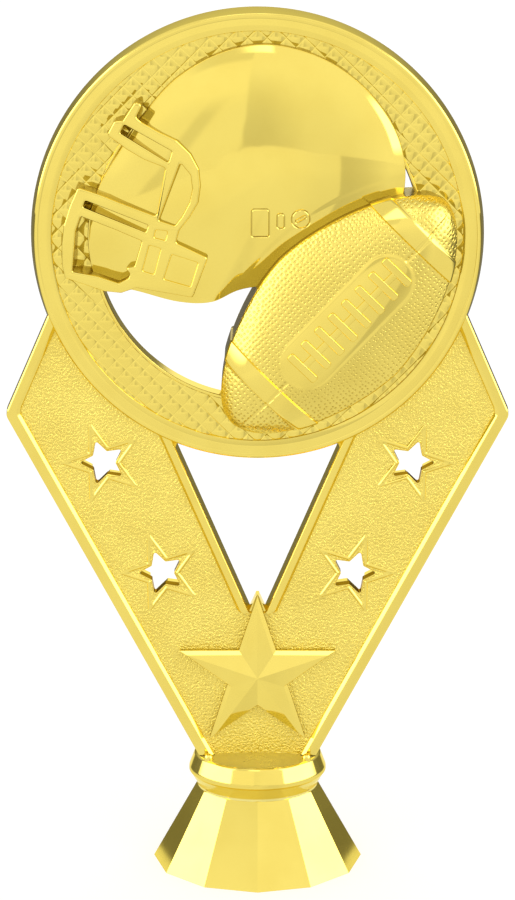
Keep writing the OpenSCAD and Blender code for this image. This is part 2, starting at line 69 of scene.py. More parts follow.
class Graph:
    """Short ways to add nodes to a tree: add returns the new node, and the others return its output."""

    def __init__(self, tree):
        self.tree = tree
        tree.nodes.clear()

    def add(self, kind, inputs=(), **settings):
        node = self.tree.nodes.new(kind)
        for key, value in settings.items():
            setattr(node, key, value)
        for key, value in dict(inputs).items():
            self.feed(node.inputs[key], value)
        return node

    def feed(self, socket, value):
        if isinstance(value, bpy.types.NodeSocket):
            self.tree.links.new(value, socket)
        else:
            socket.default_value = value

    def math(self, operation, *values):
        return self.add("ShaderNodeMath", dict(enumerate(values)), operation=operation).outputs[0]

    def span(self, value, low, high, to_low=0.0, to_high=1.0):
        """Eases from to_low to to_high while the value goes from low to high."""
        places = {"Value": value, "From Min": low, "From Max": high, "To Min": to_low, "To Max": to_high}
        return self.add("ShaderNodeMapRange", places, interpolation_type="SMOOTHSTEP").outputs[0]

    def between(self, value, low, high, soft):
        """1 inside the range and 0 outside it, with soft edges."""
        rise = self.span(value, low - soft, low + soft)
        fall = self.span(value, high - soft, high + soft, 1.0, 0.0)
        return self.math("MULTIPLY", rise, fall)

    def blend(self, share, a, b):
        """a where the share is 0 and b where it is 1."""
        places = {"Factor": share, "A": a, "B": b}
        return self.add("ShaderNodeMix", places, data_type="FLOAT").outputs[0]

    def tint(self, share, a, b):
        """The same for colours."""
        mix = self.add("ShaderNodeMix", {0: share, 6: a, 7: b}, data_type="RGBA")
        return mix.outputs[2]

    def length(self, a, b):
        """Length of a flat vector with these two parts."""
        squares = [self.math("MULTIPLY", part, part) for part in (a, b)]
        return self.math("SQRT", self.math("ADD", *squares))

    def round_deg(self, x, y):
        """Angle round from straight in front of the object, positive to the right, in degrees."""
        turn = self.math("ARCTAN2", x, self.math("MULTIPLY", y, -1.0))
        return self.math("MULTIPLY", turn, 180 / math.pi)

    def noise(self, place, size_mm, detail, roughness=0.5):
        places = {"Vector": place, "Scale": 1 / (size_mm * MM), "Detail": detail, "Roughness": roughness}
        return self.add("ShaderNodeTexNoise", places).outputs[0]

    def bump(self, height, deep_mm, below=None):
        """Relief of this depth, on top of another relief if one is given."""
        node = self.add("ShaderNodeBump", {"Height": height, "Distance": deep_mm * MM, "Strength": 1.0})
        if below is not None:
            self.feed(node.inputs["Normal"], below)
        return node.outputs[0]

    def box_distance(self, x, z, middle, half, radius, turn=0.0):
        """Distance outside a rounded box, negative inside it; turn leans its long side from the vertical."""
        dx, dz = self.math("SUBTRACT", x, middle[0]), self.math("SUBTRACT", z, middle[1])
        sine, cosine = math.sin(turn), math.cos(turn)
        across = self.math("ADD", self.math("MULTIPLY", dx, cosine), self.math("MULTIPLY", dz, -sine))
        along = self.math("ADD", self.math("MULTIPLY", dx, sine), self.math("MULTIPLY", dz, cosine))
        qx = self.math("SUBTRACT", self.math("ABSOLUTE", across), half[0] - radius)
        qz = self.math("SUBTRACT", self.math("ABSOLUTE", along), half[1] - radius)
        outside = self.length(self.math("MAXIMUM", qx, 0.0), self.math("MAXIMUM", qz, 0.0))
        inside = self.math("MINIMUM", self.math("MAXIMUM", qx, qz), 0.0)
        return self.math("SUBTRACT", self.math("ADD", outside, inside), radius)


# ---- Materials -------------------------------------------------------------------------------------

GOLD = (0.86, 0.685, 0.147, 1)
GOLD_DEEP = (0.83, 0.65, 0.132, 1)
# A darker gold, for the grain's darker spots and for painted shade in hollows and on the stars' hole walls
GOLD_SHADE = (0.5, 0.37, 0.07, 1)
# Tint at glancing angles, where a lacquered gold coat stays yellow
GOLD_EDGE = (1.0, 0.92, 0.5, 1)
STEEL = (0.55, 0.56, 0.58, 1)
STEEL_DEEP = (0.42, 0.43, 0.45, 1)
# Sizes of the waves, of the grains and of the ball's dents
WAVE_MM, GRAIN_MM, SATIN_GRAIN_MM, PEBBLE_MM = 4.0, 0.42, 0.5, 0.78
# Middle, half sizes, corner radius and lean of the ear hole, the slot, the button and the button's slit
EAR_MARKS = [((0.51, 116.57), (1.49, 2.38), 0.45, 0.0), ((3.98, 116.9), (0.61, 1.28), 0.5, 0.0),
             ((7.38, 117.23), (1.56, 1.56), 1.55, 0.0), ((7.38, 117.2), (0.26, 0.95), 0.25, math.radians(60))]
# The crease by the ball is an arc about this place, and the helmet's face steps up across these radii
CREASE_X, CREASE_Z, CREASE_IN_R, CREASE_OUT_R = 32.2, 82.2, 42.2, 43.1

Coat = namedtuple("Coat", "material g place shader relief tint")


def metal(name, colour, shade, roughness, edge=GOLD_EDGE, patches_mm=9.0, waves_mm=0.003, metallic=0.97):
    """A bright metal coat on moulded plastic: a little colour variation, smudges and very shallow waves."""
    material = bpy.data.materials.new(name)
    material.use_nodes = True
    g = Graph(material.node_tree)
    place = g.add("ShaderNodeTexCoord").outputs["Object"]
    smudge = g.noise(place, patches_mm, 4.0)
    tint = g.tint(g.span(smudge, 0.35, 0.75), colour, shade)
    gloss = g.span(smudge, 0.3, 0.8, roughness * 0.75, roughness * 1.35)
    relief = g.bump(g.noise(place, WAVE_MM, 2.0), waves_mm)
    shader = g.add("ShaderNodeBsdfPrincipled", {"Base Color": tint, "Metallic": metallic, "Roughness": gloss,
                                                "Specular Tint": edge, "Normal": relief})
    g.add("ShaderNodeOutputMaterial", {"Surface": shader.outputs[0]})
    return Coat(material, g, place, shader, relief, tint)


def roughen(coat, height, deep_mm):
    """Adds a finer relief on top of the coat's own."""
    coat.g.feed(coat.shader.inputs["Normal"], coat.g.bump(height, deep_mm, coat.relief))


def darken(coat, share):
    """Turns the coat towards the dark gold by this share: darker grain in some coats, painted shade in
    others.
    """
    coat.g.feed(coat.shader.inputs["Base Color"], coat.g.tint(share, coat.tint, GOLD_SHADE))


def gold_polished():
    return metal("gold_polished", GOLD, GOLD_DEEP, 0.06).material


def gold_grained():
    """The fine cast grain of the frame's panels."""
    coat = metal("gold_grained", GOLD, GOLD_DEEP, 0.2)
    coarse = coat.g.noise(coat.place, GRAIN_MM, 2.5, 0.6)
    roughen(coat, coat.g.span(coarse, 0.32, 0.68), 0.09)
    darken(coat, coat.g.span(coarse, 0.3, 0.48, 0.12, 0.0))
    return coat.material


def gold_satin():
    """The soft grain of the collar's top, which scatters more light than the rest."""
    coat = metal("gold_satin", (0.72, 0.62, 0.17, 1), (0.68, 0.58, 0.15, 1), 0.3, metallic=0.5)
    roughen(coat, coat.g.noise(coat.place, SATIN_GRAIN_MM, 2.0), 0.06)
    return coat.material


def gold_neck():
    """The paler coat of the groove between collar and skirt."""
    return metal("gold_neck", (0.92, 0.8, 0.27, 1), (0.88, 0.76, 0.24, 1), 0.12, metallic=0.8).material


def gold_wall_shade():
    """A darker and rougher coat on steep side walls; its darker colour is painted shade."""
    return metal("gold_wall_shade", (0.56, 0.48, 0.18, 1), (0.5, 0.42, 0.15, 1), 0.2, (0.8, 0.72, 0.45, 1)).material


def gold_hole_shade():
    """A darker, brownish gold on the deep walls of the pierced stars, as painted shade."""
    return metal("gold_hole_shade", GOLD_SHADE, (0.36, 0.26, 0.05, 1), 0.2, (0.6, 0.42, 0.1, 1)).material


def gold_pebbled():
    """The ball's pebbled skin: rows of small round dents with low swells between them, the dents darkened as
    painted shade.
    """
    coat = metal("gold_pebbled", GOLD, GOLD_DEEP, 0.27)
    g = coat.g
    rows = g.add("ShaderNodeUVMap").outputs[0]
    cells = g.add("ShaderNodeTexVoronoi", {"Vector": rows, "Scale": 1 / PEBBLE_MM, "Randomness": 0.45},
                  voronoi_dimensions="2D").outputs[0]
    pits = g.span(cells, 0.13, 0.32, 1.0, 0.0)
    roughen(coat, g.math("SUBTRACT", g.span(cells, 0.3, 0.65, 0.0, 0.3), pits), 0.055)
    # Painted shade in the dents
    darken(coat, g.math("MULTIPLY", pits, 0.5))
    return coat.material


def gold_marked():
    """The helmet's finish, with the thin lines of its ear marks darkened as painted shade, and the crease by
    the ball.
    """
    coat = metal("gold_marked", GOLD, GOLD_DEEP, 0.05)
    g = coat.g
    parts = g.add("ShaderNodeSeparateXYZ", {0: coat.place}).outputs
    x, z = g.math("MULTIPLY", parts["X"], 1 / MM), g.math("MULTIPLY", parts["Z"], 1 / MM)
    lines = None
    for middle, half, radius, turn in EAR_MARKS:
        away = g.math("ABSOLUTE", g.box_distance(x, z, middle, half, radius, turn))
        line = g.span(away, 0.03, 0.2, 1.0, 0.0)
        lines = line if lines is None else g.math("MAXIMUM", lines, line)
    reach = g.length(g.math("SUBTRACT", x, CREASE_X), g.math("SUBTRACT", z, CREASE_Z))
    step = g.span(reach, CREASE_IN_R, CREASE_OUT_R, 0.0, 0.5)
    # The rear shell has the same finish, without the marks
    front = g.span(parts["Y"], -3 * MM, -4 * MM)
    roughen(coat, g.math("MULTIPLY", front, g.math("SUBTRACT", step, lines)), 0.1)
    # Painted shade along the ear marks' lines, on the front shell only
    darken(coat, g.math("MULTIPLY", g.math("MULTIPLY", lines, front), 0.75))
    return coat.material


def zinc_steel():
    return metal("zinc_steel", STEEL, STEEL_DEEP, 0.32, (1, 1, 1, 1), patches_mm=3.0, waves_mm=0.05).material


POLISHED = gold_polished()
GRAINED = gold_grained()
SATIN = gold_satin()
INNER = gold_hole_shade()
WALL_SHADE = gold_wall_shade()
NECK = gold_neck()
PEBBLED = gold_pebbled()
MARKED = gold_marked()
ZINC = zinc_steel()


# ---- Outlines ----------------------------------------------------------------------------------------

def area(loop):
    return sum(loop[i - 1][0] * loop[i][1] - loop[i][0] * loop[i - 1][1] for i in range(len(loop))) / 2


def anticlockwise(loop):
    return loop if area(loop) > 0 else loop[::-1]


def inset(loop, amounts):
    """The anticlockwise outline with each edge moved inwards; edge i runs from corner i to the next."""
    n = len(loop)
    if not isinstance(amounts, (list, tuple)):
        amounts = [amounts] * n
    corners = [Vector(p) for p in loop]
    inward = []
    for i in range(n):
        along = (corners[(i + 1) % n] - corners[i]).normalized()
        inward.append(Vector((-along.y, along.x)))
    moved = []
    for i in range(n):
        a, b = inward[i - 1], inward[i]
        cross = a.x * b.y - a.y * b.x
        if abs(cross) < 0.02:
            moved.append(tuple(corners[i] + a * amounts[i - 1] * 0.5 + b * amounts[i] * 0.5))
            continue
        x = (amounts[i - 1] * b.y - amounts[i] * a.y) / cross
        y = (amounts[i] * a.x - amounts[i - 1] * b.x) / cross
        moved.append((corners[i].x + x, corners[i].y + y))
    return moved


def rounded(loop, radii, steps=4):
    """The closed outline with its corners turned into arcs; a radius of 0 leaves a corner as it is."""
    n = len(loop)
    if not isinstance(radii, (list, tuple)):
        radii = [radii] * n
    points = []
    for i in range(n):
        a, b, c = Vector(loop[i - 1]), Vector(loop[i]), Vector(loop[(i + 1) % n])
        if radii[i] == 0:
            points.append(tuple(b))
            continue
        u, v = (a - b).normalized(), (c - b).normalized()
        half = max(u.angle(v) / 2, 0.01)
        reach = min(radii[i] / math.tan(half), 0.48 * (a - b).length, 0.48 * (c - b).length)
        centre = b + (u + v).normalized() * reach / math.cos(half)
        start, end = b + u * reach - centre, b + v * reach - centre
        sweep = start.angle(end)
        for k in range(steps + 1):
            t = k / steps
            ray = (start * math.sin((1 - t) * sweep) + end * math.sin(t * sweep)) / math.sin(sweep)
            points.append(tuple(centre + ray))
    return points


def curve(keys, steps):
    """A smooth closed curve through a few chosen points."""
    n = len(keys)
    points = []
    for i in range(n):
        a, b, c, d = (Vector(keys[(i + k - 1) % n]) for k in range(4))
        for k in range(steps):
            t = k / steps
            points.append(tuple(0.5 * (2 * b + (c - a) * t + (2 * a - 5 * b + 4 * c - d) * t ** 2
                                       + (3 * b - a - 3 * c + d) * t ** 3)))
    return points


def star(radius, ratio, turn=0.0, centre=(0.0, 0.0)):
    points = []
    for i in range(10):
        angle = math.radians(turn + 36 * i)
        reach = radius if i % 2 == 0 else radius * ratio
        points.append((centre[0] + reach * math.cos(angle), centre[1] + reach * math.sin(angle)))
    return points


def softened(profile, reach, steps=3):
    """An open profile with each corner between its ends eased into a small curve."""
    points = [profile[0]]
    for a, b, c in zip(profile, profile[1:], profile[2:]):
        a, b, c = Vector(a), Vector(b), Vector(c)
        start = b + (a - b).normalized() * min(reach, (a - b).length * 0.45)
        end = b + (c - b).normalized() * min(reach, (c - b).length * 0.45)
        for k in range(steps + 1):
            t = k / steps
            points.append(tuple(start * (1 - t) ** 2 + b * 2 * t * (1 - t) + end * t ** 2))
    points.append(profile[-1])
    return points


# ---- Meshes ------------------------------------------------------------------------------------------

class Shape:
    """A mesh in the making. Its points are (x, depth, z) in millimetres."""

    def __init__(self):
        self.mesh = bmesh.new()

    def loop(self, points):
        return [self.mesh.verts.new((x * MM, -depth * MM, z * MM)) for x, depth, z in points]

    def level(self, outline, depth):
        return self.loop([(x, depth, z) for x, z in outline])

    def face(self, corners, finish=0):
        if len(set(corners)) < 3:
            return
        face = self.mesh.faces.new(corners)
        face.material_index = finish

    def band(self, a, b, finish=0, closed=True):
        """Quads between two rows of points."""
        for i in range(len(a) if closed else len(a) - 1):
            j = (i + 1) % len(a)
            self.face((a[i], a[j], b[j], b[i]), finish)

    def skin(self, rows, finish=0, closed=True):
        for a, b in zip(rows, rows[1:]):
            self.band(a, b, finish, closed)

    def cap(self, outer, holes=(), finish=0):
        """A flat face inside a loop of points, with holes left open."""
        loops = [outer, *holes]
        corners = [v for loop in loops for v in loop]
        for tri in tessellate_polygon([[Vector((v.co.x, v.co.z, 0)) / MM for v in loop] for loop in loops]):
            self.face([corners[i] for i in tri], finish)

    def fan(self, row, tip, finish=0, closed=True):
        for i in range(len(row) if closed else len(row) - 1):
            self.face((row[i], row[(i + 1) % len(row)], tip), finish)

    def take(self, data, finish=0):
        """Adds a finished mesh."""
        before = len(self.mesh.faces)
        self.mesh.from_mesh(data)
        self.mesh.faces.ensure_lookup_table()
        for face in self.mesh.faces[before:]:
            face.material_index = finish

    def data(self, name, crisp=30):
        bmesh.ops.remove_doubles(self.mesh, verts=self.mesh.verts, dist=1e-7)
        bmesh.ops.recalc_face_normals(self.mesh, faces=self.mesh.faces)
        data = bpy.data.meshes.new(name)
        self.mesh.to_mesh(data)
        self.mesh.free()
        data.shade_smooth()
        data.set_sharp_from_angle(angle=math.radians(crisp))
        return data


def piece(data, nodes, finishes, weighted=True):
    """Puts a finished mesh in the scene in place of its CAD nodes."""
    for finish in finishes:
        data.materials.append(finish)
    thing = bpy.data.objects.new(data.name, data)
    bpy.context.scene.collection.objects.link(thing)
    if weighted:
        thing.modifiers.new("weighted", "WEIGHTED_NORMAL").keep_sharp = True
    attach(thing, "root")
    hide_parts(*nodes)
    return thing


def eased_edges(thing, width, angle):
    """Rounds a piece's edges by a hair, so that they catch the light."""
    bevel = thing.modifiers.new("edges", "BEVEL")
    bevel.width, bevel.segments, bevel.angle_limit = width * MM, 2, math.radians(angle)
    bevel.harden_normals = True


RING_STEPS = 288


def around_ring(shape, radius, depth):
    """A circle of points about the ring's axis."""
    points = []
    for i in range(RING_STEPS):
        a = math.tau * i / RING_STEPS
        points.append((radius * math.cos(a), depth, RING_Z + radius * math.sin(a)))
    return shape.loop(points)


def turned_ring(shape, profile, finish=0):
    """A closed solid turned about the ring's axis, from a closed profile of [radius, depth]."""
    rows = [around_ring(shape, r, d) for r, d in profile]
    shape.skin(rows + rows[:1], finish)


# ---- Ring --------------------------------------------------------------------------------------------

WAFFLE_SIDE = 2.3
WAFFLE_GROOVE, WAFFLE_SHOULDER, WAFFLE_PEAK = 3.9, 3.97, 4.11
# Side of a pyramid's shoulder as a share of its square
WAFFLE_SHARE = 0.86
# The waffle is made from the first depth and cut to a ring between the other two
WAFFLE_FOOT, CUT_FOOT, CUT_TOP = 1.0, 2.0, 6.0
# Depth at which the border's and the lip's inner walls end, under the waffle
HIDDEN_FOOT = 1.5
LIP_FACE = 4.1
BORDER_IN_R, BORDER_GROOVE_R = 35.3, 37.6
LIP_R = RING_OPEN_R + 0.6


def cut_to(data, cutter):
    """The part of one mesh that lies inside another."""
    body = bpy.data.objects.new("body", data)
    tool = bpy.data.objects.new("tool", cutter)
    for thing in (body, tool):
        bpy.context.scene.collection.objects.link(thing)
    cut = body.modifiers.new("cut", "BOOLEAN")
    cut.operation, cut.solver, cut.object = "INTERSECT", "EXACT", tool
    scene_now = bpy.context.evaluated_depsgraph_get()
    result = bpy.data.meshes.new_from_object(body.evaluated_get(scene_now))
    for thing in (body, tool):
        bpy.data.objects.remove(thing)
    return result


def waffle_field():
    """Four-sided pyramids on a diagonal grid, cut to the ring's field."""
    shape = Shape()
    count = int(BORDER_IN_R / WAFFLE_SIDE) + 2
    turn = math.sqrt(0.5)

    def point(u, v, depth):
        return (turn * (u - v) * WAFFLE_SIDE, depth, RING_Z + turn * (u + v) * WAFFLE_SIDE)

    lines = range(-count, count + 1)
    grid = [shape.loop([point(u, v, WAFFLE_GROOVE) for v in lines]) for u in lines]
    for i in range(2 * count):
        for j in range(2 * count):
            corners = [(i, j), (i + 1, j), (i + 1, j + 1), (i, j + 1)]
            u, v = i - count + 0.5, j - count + 0.5
            low = [grid[a][b] for a, b in corners]
            high = shape.loop([point(u + WAFFLE_SHARE * (a - i - 0.5), v + WAFFLE_SHARE * (b - j - 0.5),
                                     WAFFLE_SHOULDER) for a, b in corners])
            shape.band(low, high)
            shape.fan(high, shape.loop([point(u, v, WAFFLE_PEAK)])[0])
    rim = grid[0][:-1] + [row[-1] for row in grid[:-1]] + grid[-1][:0:-1] + [row[0] for row in grid[:0:-1]]
    foot = shape.loop([(v.co.x / MM, WAFFLE_FOOT, v.co.z / MM) for v in rim])
    shape.band(rim, foot)
    shape.cap(foot)
    annulus = Shape()
    corners = [(LIP_R, CUT_FOOT), (BORDER_IN_R, CUT_FOOT), (BORDER_IN_R, CUT_TOP), (LIP_R, CUT_TOP)]
    turned_ring(annulus, corners)
    return cut_to(shape.data("waffle", 1), annulus.data("annulus"))


def ring_front():
    """A border with a hairline groove and a low lip round the opening, with the waffle between them."""
    shape = Shape()
    shape.take(waffle_field(), 1)
    face = RING_FACE - 0.05
    border = [(RING_R, 0), (RING_FRONT_R + 0.05, RING_FACE - 0.3), (RING_FRONT_R - 0.22, RING_FACE),
              (BORDER_GROOVE_R + 0.14, RING_FACE - 0.02), (BORDER_GROOVE_R, face - 0.03),
              (BORDER_GROOVE_R - 0.16, face - 0.02), (BORDER_IN_R + 1.0, face - 0.02),
              (BORDER_IN_R + 0.03, face - 0.14), (BORDER_IN_R - 0.05, WAFFLE_GROOVE - 0.1),
              (BORDER_IN_R - 0.1, HIDDEN_FOOT)]
    lip = [(LIP_R + 0.05, HIDDEN_FOOT), (LIP_R, LIP_FACE - 0.12), (LIP_R - 0.08, LIP_FACE),
           (RING_OPEN_R + 0.12, LIP_FACE), (RING_OPEN_R + 0.02, LIP_FACE - 0.12),
           (RING_OPEN_R + 0.018, LIP_FACE - 0.3), (RING_OPEN_R - 0.05, 0)]
    border_rows = [around_ring(shape, r, d) for r, d in softened(border, 0.07)]
    lip_rows = [around_ring(shape, r, d) for r, d in softened(lip, 0.05, 2)]
    shape.skin(border_rows)
    shape.skin(lip_rows)
    shape.skin([border_rows[-1], lip_rows[0]])
    shape.skin([lip_rows[-1], border_rows[0]])
    data = shape.data("ring_front_gold", 24)
    return piece(data, ["ring_front"], [POLISHED, POLISHED], False)


# ---- V frame -----------------------------------------------------------------------------------------

CROTCH = (1.4, 46.6)
INNER_TOP = (15.75, 79.75)
ARM_TOP = (35.2, 102.0)
ARM_CORNER = (43.9, 82.4)
ARM_FOOT = (10.5, 20.3)
ARC_STEPS = 20
STARS = [(27.0, 73.7), (16.9, 53.8)]
STAR_RIDGE_R, STAR_RIDGE_RATIO = 7.1, 0.39
STAR_HOLE_R, STAR_HOLE_RATIO = 4.15, 0.52
STAR_TIP, STAR_VALLEY = 0.3, 0.25
# A star's raised outline as [outset, height above the panel], and its hole's wall as [outset, depth]
RIDGE_PROFILE = ((0.3, 0), (0.24, 0.08), (0.09, 0.21), (0, 0.23), (-0.09, 0.21), (-0.24, 0.08), (-0.3, 0))
HOLE_PROFILE = ((0.16, ARM_PANEL), (0.1, ARM_PANEL + 0.1), (0.0, ARM_PANEL + 0.04),
                (0.0, ARM_PANEL - 2.5), (0.9, 0))
CROTCH_ROUND, ARM_ROUND = 0.8, 1.8
# Width of the raised border on the inner, the upper outer and the lower outer edges
BORDER_INNER, BORDER_UPPER, BORDER_LOWER = 1.8, 2.1, 2.4


def frame_outline():
    """The V's corners, with the width of the border on each edge and the radius of each corner."""
    start = math.atan2(INNER_TOP[1] - RING_Z, INNER_TOP[0])
    end = math.atan2(ARM_TOP[1] - RING_Z, ARM_TOP[0])
    reach = math.hypot(INNER_TOP[0], INNER_TOP[1] - RING_Z)
    arc = []
    for k in range(ARC_STEPS + 1):
        a = start + (end - start) * k / ARC_STEPS
        arc.append((reach * math.cos(a), RING_Z + reach * math.sin(a)))
    right = [CROTCH] + arc + [ARM_CORNER, ARM_FOOT]
    widths = [BORDER_INNER] + [0] * ARC_STEPS + [BORDER_UPPER, BORDER_LOWER]
    corners = [CROTCH_ROUND] + [0] * len(arc) + [ARM_ROUND, 0]
    # The left half runs the other way, so an edge takes the width of its mirror image
    outline = right + [(-x, z) for x, z in right[::-1]]
    borders = widths + [0] + widths[::-1] + [0]
    radii = corners + corners[::-1]
    # Reversed, the outline is anticlockwise; edge i then starts where its old edge ended
    return outline[::-1], borders[-2::-1] + borders[-1:], radii[::-1]


def star_level(shape, place, radius, ratio, grow, depth):
    """The outline of a pierced star, one tip pointing away from the middle, moved outwards by grow."""
    turn = 0 if place[0] > 0 else 180
    loop = inset(star(radius, ratio, turn, place), -grow)
    return shape.level(rounded(loop, [STAR_TIP, STAR_VALLEY] * 5, 3), depth)


def v_frame_front():
    """Raised borders round grained panels, with four pierced stars."""
    shape = Shape()
    outline, borders, radii = frame_outline()

    def level(share, depth, flare=0.0):
        amounts = [share * w - (flare if w else 0) for w in borders]
        return shape.level(rounded(inset(outline, amounts), radii), depth)

    drop = ARM_FACE - ARM_PANEL
    rows = [level(0, 0, 0.25), level(0, ARM_FACE - 0.26), level(0.02, ARM_FACE - 0.21),
            level(0.1, ARM_FACE - 0.03), level(0.13, ARM_FACE), level(0.72, ARM_FACE),
            level(0.76, ARM_FACE - 0.03), level(0.96, ARM_FACE - 0.62 * drop),
            level(0.99, ARM_FACE - 0.75 * drop), level(1, ARM_PANEL - 0.02)]
    shape.skin(rows)
    outer_stars, back_stars = [], []
    for x, z in STARS + [(-x, z) for x, z in STARS]:
        ridge = [star_level(shape, (x, z), STAR_RIDGE_R, STAR_RIDGE_RATIO, grow, ARM_PANEL + up)
                 for grow, up in RIDGE_PROFILE]
        hole = [star_level(shape, (x, z), STAR_HOLE_R, STAR_HOLE_RATIO, grow, depth)
                for grow, depth in HOLE_PROFILE]
        shape.skin(ridge)
        shape.skin(hole[:3])
        # The deep walls of each hole take the darker gold of painted shade
        shape.skin(hole[2:], 2)
        shape.cap(ridge[-1], [hole[0]], 1)
        outer_stars.append(ridge[0])
        back_stars.append(hole[-1])
    shape.cap(rows[-1], outer_stars, 1)
    shape.cap(rows[0], back_stars)
    data = shape.data("v_frame_gold", 40)
    return piece(data, ["v_frame_front"], [POLISHED, GRAINED, INNER])


# The small block behind the emblem's upper arm
CROTCH_PLUG = [(-1.3, 46.0), (1.3, 46.0), (1.45, 46.9), (0.25, 49.6), (-0.25, 49.6), (-1.45, 46.9)]
# Share of the full bevel on the edges that face down
LOW_BEVEL = 0.25


def star_emblem():
    """A faceted star with a wall in painted shade and a bevel, whose peak is its middle."""
    shape = Shape()
    rim = star(EMBLEM_R, STAR_RATIO, 90, (0, EMBLEM_Z))
    # The edges that run far to the right, on an anticlockwise star, are those that face down
    wide = [LOW_BEVEL if rim[(i + 1) % 10][0] - rim[i][0] > 4 else 1 for i in range(10)]
    levels = ((0.0, ARM_PANEL - 0.2), (0.0, EMBLEM_EDGE - 0.5), (0.68, EMBLEM_EDGE - 0.04),
              (0.76, EMBLEM_EDGE))
    rows = [shape.level(inset(rim, [share * w for w in wide]), depth) for share, depth in levels]
    # The wall takes the darker gold of painted shade
    shape.skin(rows[:2], 1)
    shape.skin(rows[1:])
    peak = shape.loop([(0, EMBLEM_PEAK, EMBLEM_Z)])[0]
    shape.fan(rows[-1], peak)
    shape.cap(rows[0])
    plug_rows = [shape.level(CROTCH_PLUG, 0), shape.level(CROTCH_PLUG, ARM_PANEL)]
    shape.skin(plug_rows)
    shape.cap(plug_rows[0])
    shape.cap(plug_rows[1])
    emblem = piece(shape.data("star_emblem_gold", 5), ["star_emblem"], [POLISHED, WALL_SHADE], weighted=False)
    eased_edges(emblem, 0.1, 8)
    return emblem


# ---- Helmet ------------------------------------------------------------------------------------------

HELMET_KEYS = [(-28.9, 117), (-26.9, 123), (-23.2, 129), (-19.2, 135), (-13.6, 141), (-5.8, 145.3),
               (2.4, 146.5), (11.4, 144), (18.6, 138.8), (23.6, 131.8), (25.3, 124), (23.1, 117), (14, 109),
               (5, 106), (-2.9, 104.6), (-8, 102.4), (-13.8, 102.5), (-21, 104.4), (-27.2, 105.8),
               (-29, 110.8)]
HELMET_MID = Vector((-1.5, 124.5))
HELMET_CROWN = Vector((4.0, 126.0))
HELMET_BROW, HELMET_REAR_BROW = 6.4, 1.9
# The wall's upper end as [share of the outline, distance below the brow]
BROW_PROFILE = ((0.993, 0.12), (0.991, 0.03), (0.986, 0))
DOME_POWER, DOME_ROUND, DOME_STEPS = 2.1, 0.72, 44


def helmet_level(shape, outline, share, depth):
    """The outline shrunk to this share, on its way from the helmet's middle to its crown."""
    middle = HELMET_CROWN.lerp(HELMET_MID, share)
    return shape.level([middle + share * (Vector(p) - HELMET_MID) for p in outline], depth)


def dome_rise(share, rim=0.95):
    """Height of the dome as a share of its rise, from its brow (share 1) to its crown (share 0).

    Past the rim it goes on straight, since the curve itself would turn steep there.
    """
    rise = (1 - min(share, rim) ** DOME_POWER) ** DOME_ROUND
    slope = DOME_ROUND * DOME_POWER * rim ** (DOME_POWER - 1) * (1 - rim ** DOME_POWER) ** (DOME_ROUND - 1)
    return rise - slope * max(share - rim, 0)


def helmet_shell(name, node, base, brow, crown):
    """A nearly upright wall up to a crisp brow, then a smooth dome."""
    shape = Shape()
    outline = curve(HELMET_KEYS, 9)
    side = 1 if crown > base else -1
    rows = [helmet_level(shape, outline, 1.0, base)]
    rows += [helmet_level(shape, outline, share, brow - below * side) for share, below in BROW_PROFILE]
    for k in range(1, DOME_STEPS):
        share = math.cos(math.pi / 2 * k / DOME_STEPS)
        depth = brow + (crown - brow) * dome_rise(share)
        rows.append(helmet_level(shape, outline, BROW_PROFILE[-1][0] * share, depth))
    # The upright wall takes the darker gold of painted shade
    shape.skin(rows[:2], 1)
    shape.skin(rows[1:])
    tip = shape.loop([(HELMET_CROWN.x, crown, HELMET_CROWN.y)])[0]
    shape.fan(rows[-1], tip)
    shape.cap(rows[0])
    return piece(shape.data(name, 35), [node], [MARKED, WALL_SHADE])


# ---- Face mask ---------------------------------------------------------------------------------------

MASK_EDGE = [
    (-20.5, 137.1), (-19.3, 136.6), (-20.4, 134.5), (-19.5, 133.7), (-16.7, 132.1), (-13.7, 130.7),
    (-11.3, 128.4), (-9.9, 125.8), (-9.6, 122.9), (-10, 120.1), (-11.4, 117.7), (-13.3, 115.3),
    (-13.8, 113.3), (-8.4, 110.7), (-11, 103.9), (-20.6, 105.6), (-23.2, 104.7), (-26, 105), (-30.1, 106.4),
    (-32.7, 107.3), (-33.2, 109.5), (-33.2, 112.9), (-32.8, 116.2), (-31.7, 119.6), (-30.3, 122.7),
    (-26.6, 121.5), (-23.7, 120.3), (-17.1, 117.8), (-15.5, 126), (-19.1, 127.4), (-22, 129.1),
    (-25.1, 131.4), (-25.1, 131.9), (-24, 133.9), (-22.6, 133.9)]
MASK_HOLES = [
    [(-22.4, 133.3), (-14.4, 128.8), (-15, 126.9), (-23.1, 131.9)],
    [(-13, 126.9), (-11.3, 124.8), (-11, 122.4), (-11.5, 120.1), (-12.8, 117.7), (-14, 116.2),
     (-16.7, 117.1)],
    [(-29.1, 120.5), (-18.5, 116.3), (-18.9, 115.1), (-29.5, 119.4)],
    [(-29.9, 117.8), (-24, 115.5), (-19.6, 113.6), (-20.9, 109.3), (-22.5, 109), (-21.7, 108.1),
     (-21.9, 107.3), (-23.6, 106.4), (-27.2, 107.6), (-31.4, 108.4), (-31.1, 111.7), (-30.8, 115.3)],
]
# Shallow windows, whose floors lie this far under the mask's face
MASK_WINDOWS = [
    [(-17.2, 115.5), (-15.2, 115.3), (-15.6, 113.7), (-17.5, 114.2)],
    [(-18.3, 112.9), (-16.4, 112.3), (-17.6, 107.9), (-19.5, 108.5)],
    [(-14.5, 111.3), (-10.1, 109.9), (-11.4, 105.8), (-15.9, 107.1)],
]
WINDOW_DEPTH = 0.45
MASK_FACE = RING_FIELD + HELMET_RISE + 0.2
# The mask's edge as [inset, depth], from its foot to its face
MASK_PROFILE = ((-0.12, RING_FIELD - 0.25), (0, MASK_FACE - 0.32), (0.05, MASK_FACE - 0.12),
                (0.16, MASK_FACE - 0.02), (0.34, MASK_FACE))


